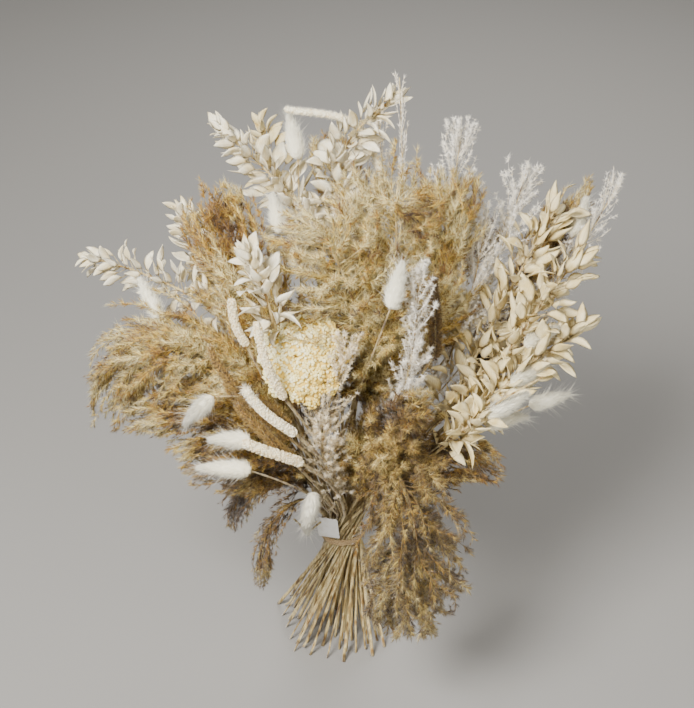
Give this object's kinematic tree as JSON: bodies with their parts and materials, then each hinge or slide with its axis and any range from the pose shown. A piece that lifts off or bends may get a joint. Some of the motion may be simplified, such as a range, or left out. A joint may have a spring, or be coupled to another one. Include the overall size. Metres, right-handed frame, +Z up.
{
  "type": "bundle of pampas grass",
  "caption": "Standing hand-tied bundle of dried pampas plumes with bunny tails, bleached ruscus, broom grass, millet spikes and a yarrow head, splayed stems below the tie.",
  "frame": {"origin": "on the surface the cut stem ends stand on, under the middle of the bundle's box", "axes": "+Z up along the bundle, -Y towards its front, +X to its right seen from the front"},
  "size_m": [0.5, 0.3676, 0.6402],
  "materials": {
    "tail": "matte",
    "stick": "matte",
    "spike": "matte",
    "yarrow": "matte",
    "ruscus": "matte",
    "wisp": "matte",
    "pampas": "matte",
    "tie": "matte",
    "tag": "matte"
  },
  "bodies": {
    "root": {"tail_top": "tail", "tail_right_top": "tail", "tail_centre": "tail", "tail_left": "tail", "tail_left_low": "tail", "tail_pair_upper": "tail", "tail_pair_lower": "tail", "tail_hanging": "tail", "tail_right_a": "tail", "tail_right_b": "tail", "tail_right_c": "tail", "tail_right_d": "tail", "tail_right_e": "tail", "tail_upper_left": "tail", "stick_arch": "stick", "stick_short": "stick", "stick_long": "stick", "stick_tufted": "stick", "stick_low": "stick", "spike_hook": "spike", "spike_mid": "spike", "spike_low": "spike", "spike_centre": "spike", "yarrow": "yarrow", "ruscus_top_left": "ruscus", "ruscus_top_right": "ruscus", "ruscus_left_out": "ruscus", "ruscus_left_up": "ruscus", "ruscus_left_mid": "ruscus", "ruscus_right_a": "ruscus", "ruscus_right_b": "ruscus", "ruscus_right_c": "ruscus", "ruscus_right_d": "ruscus", "ruscus_back": "ruscus", "wisp_top": "wisp", "wisp_white": "wisp", "wisp_curl": "wisp", "wisp_far_right": "wisp", "wisp_centre": "wisp", "wisp_fern": "wisp", "wisp_low": "wisp", "wisp_back": "wisp", "pampas_front_fall": "pampas", "pampas_front_rise": "pampas", "pampas_crown_mid": "pampas", "pampas_crown_left": "pampas", "pampas_crown_right": "pampas", "pampas_upper_left": "pampas", "pampas_left_arch": "pampas", "pampas_left_low": "pampas", "pampas_under_left": "pampas", "pampas_hang_side": "pampas", "pampas_hang_left": "pampas", "pampas_right_back": "pampas", "pampas_right_low": "pampas", "pampas_back_mid": "pampas", "pampas_back_left": "pampas", "pampas_back_right": "pampas", "tie": "tie", "tag": "tag"}
  },
  "joints": []
}
